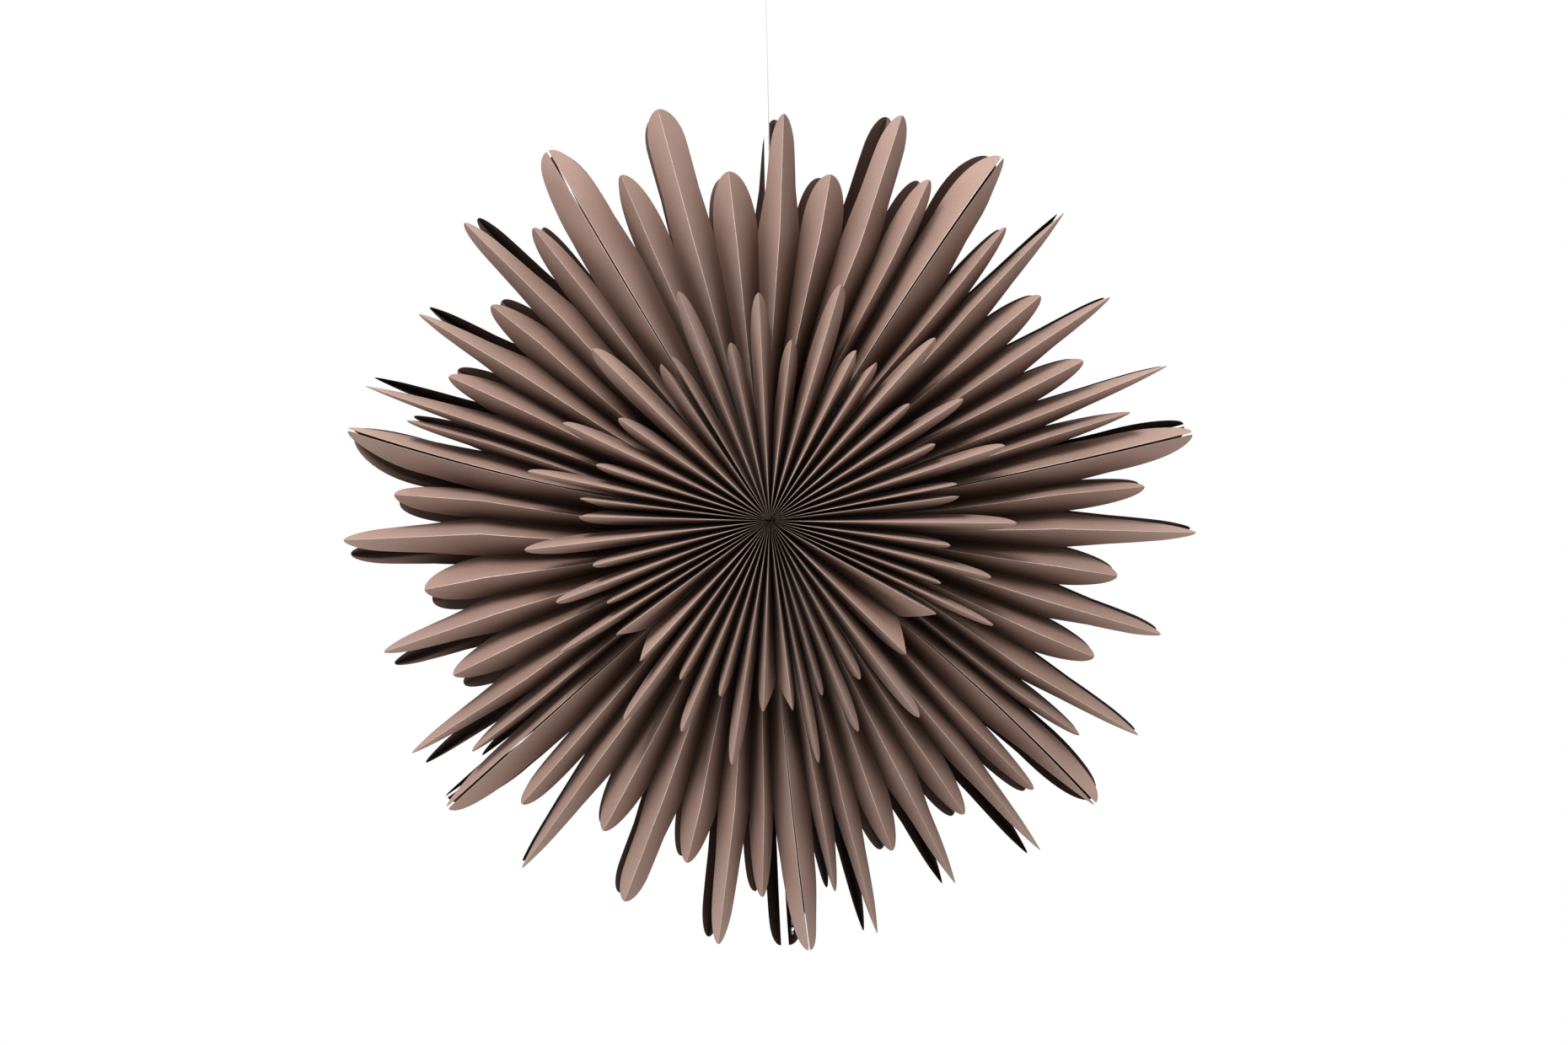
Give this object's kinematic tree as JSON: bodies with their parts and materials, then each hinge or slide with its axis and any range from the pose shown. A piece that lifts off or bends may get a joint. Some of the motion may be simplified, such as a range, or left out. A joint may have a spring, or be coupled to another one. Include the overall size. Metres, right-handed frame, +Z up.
{
  "type": "paper star lamp",
  "caption": "Folded paper star lamp of pleated, cut fans in two tiers, front and back, hung on a white cord with a bead at its closing seam.",
  "frame": {"origin": "centre of the hole of the hanging eye at the cord's upper end", "axes": "+Z up, the star's front faces -Y, +X to the right seen from the front"},
  "size_m": [0.7986, 0.1792, 0.9321],
  "materials": {
    "outer_paper": "matte mocha brown paper",
    "inner_paper": "matte mocha brown paper",
    "core": "dark brown card",
    "card": "plain card",
    "holder": "matte white",
    "bulb_glass": "frosted",
    "cord": "matte white",
    "eye": "matte white",
    "thread": "pale thread",
    "bead": "polished"
  },
  "bodies": {
    "root": {"front_sheet_1": "outer_paper", "front_sheet_2": "outer_paper", "front_sheet_3": "outer_paper", "front_sheet_4": "outer_paper", "front_sheet_5": "outer_paper", "front_sheet_6": "outer_paper", "front_sheet_7": "outer_paper", "back_sheet_1": "outer_paper", "back_sheet_2": "outer_paper", "back_sheet_3": "outer_paper", "back_sheet_4": "outer_paper", "back_sheet_5": "outer_paper", "back_sheet_6": "outer_paper", "back_sheet_7": "outer_paper", "front_fan_1": "inner_paper", "front_fan_2": "inner_paper", "front_fan_3": "inner_paper", "front_fan_4": "inner_paper", "front_fan_5": "inner_paper", "front_fan_6": "inner_paper", "front_fan_7": "inner_paper", "back_fan_1": "inner_paper", "back_fan_2": "inner_paper", "back_fan_3": "inner_paper", "back_fan_4": "inner_paper", "back_fan_5": "inner_paper", "back_fan_6": "inner_paper", "back_fan_7": "inner_paper", "centre_core": "core", "hanger_card": "card", "lamp_holder": "holder", "bulb": "bulb_glass", "lamp_cord": "cord", "hanging_eye": "eye", "closing_thread": "thread", "closing_bead": "bead"}
  },
  "joints": []
}
